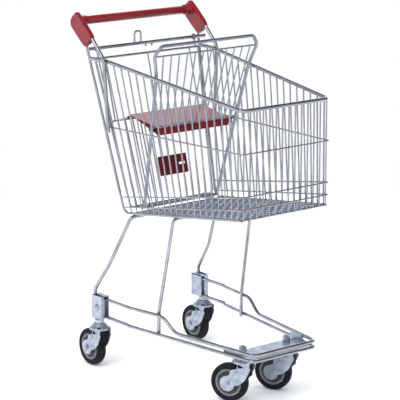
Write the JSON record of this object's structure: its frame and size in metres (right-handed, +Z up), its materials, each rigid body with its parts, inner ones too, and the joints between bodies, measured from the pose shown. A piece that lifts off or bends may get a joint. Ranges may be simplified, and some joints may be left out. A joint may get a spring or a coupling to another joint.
{
  "type": "shopping cart",
  "caption": "Compact wire shopping cart with a tapering basket, plastic handle and seat flap, folding child seat-back, swing-up rear gate, nesting base and swivel casters.",
  "frame": {"origin": "on the floor, under the middle of the cart's overall length and width", "axes": "+Z up, -Y towards the cart's nose (the direction of travel), +Y towards the person pushing, +X to the cart's left-hand side"},
  "size_m": [0.4138, 0.6402, 0.95],
  "materials": {
    "zinc_wire": "bright zinc plate with clear lacquer",
    "zinc_sheet": "satin zinc-plated pressed steel",
    "handle_red": "smooth moulded plastic",
    "flap_red": "fine-grained moulded plastic",
    "sign_red": "smooth moulded plastic",
    "trim_black": "matte",
    "wheel_grey": "satin moulded nylon",
    "tyre_rubber": "matte rubber"
  },
  "bodies": {
    "cart_frame": {"grip_sleeve": "handle_red", "handle_bar": "zinc_wire", "corner_block_right": "handle_red", "handle_rod_right": "zinc_wire", "corner_block_left": "handle_red", "handle_rod_left": "zinc_wire", "cross_tube": "zinc_wire", "hook_loop": "zinc_wire", "side_grid_right": "zinc_wire", "side_frame_right": "zinc_wire", "side_grid_left": "zinc_wire", "side_frame_left": "zinc_wire", "front_grid": "zinc_wire", "bottom_grid": "zinc_wire", "rim_rod": "zinc_wire", "rear_leg_hoop": "zinc_wire", "front_leg_hoop": "zinc_wire", "base_rail_lower": "zinc_wire", "base_rail_upper": "zinc_wire", "front_plate": "zinc_sheet", "socket_rear_right": "zinc_sheet", "socket_bolt_right": "zinc_sheet", "stem_nut_right": "zinc_sheet", "socket_rear_left": "zinc_sheet", "socket_bolt_left": "zinc_sheet", "stem_nut_left": "zinc_sheet", "stem_rear_right": "zinc_sheet", "stem_rear_left": "zinc_sheet", "stem_front_right": "zinc_sheet", "stem_front_left": "zinc_sheet"},
    "rear_gate_body": {"rear_gate": "zinc_wire", "sign_plate": "sign_red", "stay_knob_right": "trim_black", "stay_knob_left": "trim_black"},
    "seat_back_body": {"seat_back": "zinc_wire", "hinge_bush_right": "trim_black", "hinge_bush_left": "trim_black"},
    "seat_flap_body": {"seat_flap": "flap_red"},
    "swivel_rear_right": {"fork_rear_right": "zinc_sheet", "axle_rear_right": "zinc_sheet", "guard_pad_rear_right": "trim_black"},
    "wheel_rear_right": {"wheel_core_rear_right": "wheel_grey", "tyre_rear_right": "tyre_rubber"},
    "swivel_rear_left": {"fork_rear_left": "zinc_sheet", "axle_rear_left": "zinc_sheet", "guard_pad_rear_left": "trim_black"},
    "wheel_rear_left": {"wheel_core_rear_left": "wheel_grey", "tyre_rear_left": "tyre_rubber"},
    "swivel_front_right": {"fork_front_right": "zinc_sheet", "axle_front_right": "zinc_sheet", "guard_pad_front_right": "trim_black"},
    "wheel_front_right": {"wheel_core_front_right": "wheel_grey", "tyre_front_right": "tyre_rubber"},
    "swivel_front_left": {"fork_front_left": "zinc_sheet", "axle_front_left": "zinc_sheet", "guard_pad_front_left": "trim_black"},
    "wheel_front_left": {"wheel_core_front_left": "wheel_grey", "tyre_front_left": "tyre_rubber"}
  },
  "joints": [
    {"name": "gate_swing", "type": "hinge", "parent": "cart_frame", "child": "rear_gate_body", "pos_m": [0, 0.2515, 0.861], "axis": [-1, 0, 0], "range_deg": [0, 75]},
    {"name": "seat_back_fold", "type": "hinge", "parent": "rear_gate_body", "child": "seat_back_body", "pos_m": [0, 0.1041, 0.455], "axis": [-1, 0, 0], "range_deg": [0, 28]},
    {"name": "seat_flap_fold", "type": "hinge", "parent": "seat_back_body", "child": "seat_flap_body", "pos_m": [0, 0.05628, 0.66987], "axis": [1, 0, 0], "range_deg": [0, 90]},
    {"name": "swivel_spin_rear_right", "type": "hinge", "parent": "cart_frame", "child": "swivel_rear_right", "pos_m": [-0.1794, 0.2301, 0.115], "axis": [0, 0, 1], "continuous": true},
    {"name": "wheel_spin_rear_right", "type": "hinge", "parent": "swivel_rear_right", "child": "wheel_rear_right", "pos_m": [-0.17818, 0.26508, 0.05], "axis": [0.9994, -0.0349, 0], "continuous": true},
    {"name": "swivel_spin_rear_left", "type": "hinge", "parent": "cart_frame", "child": "swivel_rear_left", "pos_m": [0.1794, 0.2301, 0.115], "axis": [0, 0, 1], "continuous": true},
    {"name": "wheel_spin_rear_left", "type": "hinge", "parent": "swivel_rear_left", "child": "wheel_rear_left", "pos_m": [0.18062, 0.26508, 0.05], "axis": [0.9994, -0.0349, 0], "continuous": true},
    {"name": "swivel_spin_front_right", "type": "hinge", "parent": "cart_frame", "child": "swivel_front_right", "pos_m": [-0.074, -0.2379, 0.115], "axis": [0, 0, 1], "continuous": true},
    {"name": "wheel_spin_front_right", "type": "hinge", "parent": "swivel_front_right", "child": "wheel_front_right", "pos_m": [-0.08934, -0.20644, 0.05], "axis": [0.8988, 0.4384, 0], "continuous": true},
    {"name": "swivel_spin_front_left", "type": "hinge", "parent": "cart_frame", "child": "swivel_front_left", "pos_m": [0.074, -0.2379, 0.115], "axis": [0, 0, 1], "continuous": true},
    {"name": "wheel_spin_front_left", "type": "hinge", "parent": "swivel_front_left", "child": "wheel_front_left", "pos_m": [0.05866, -0.20644, 0.05], "axis": [0.8988, 0.4384, 0], "continuous": true}
  ],
  "couplings": [
    {"joint": "seat_flap_fold", "follows": "seat_back_fold", "ratio": 3}
  ]
}
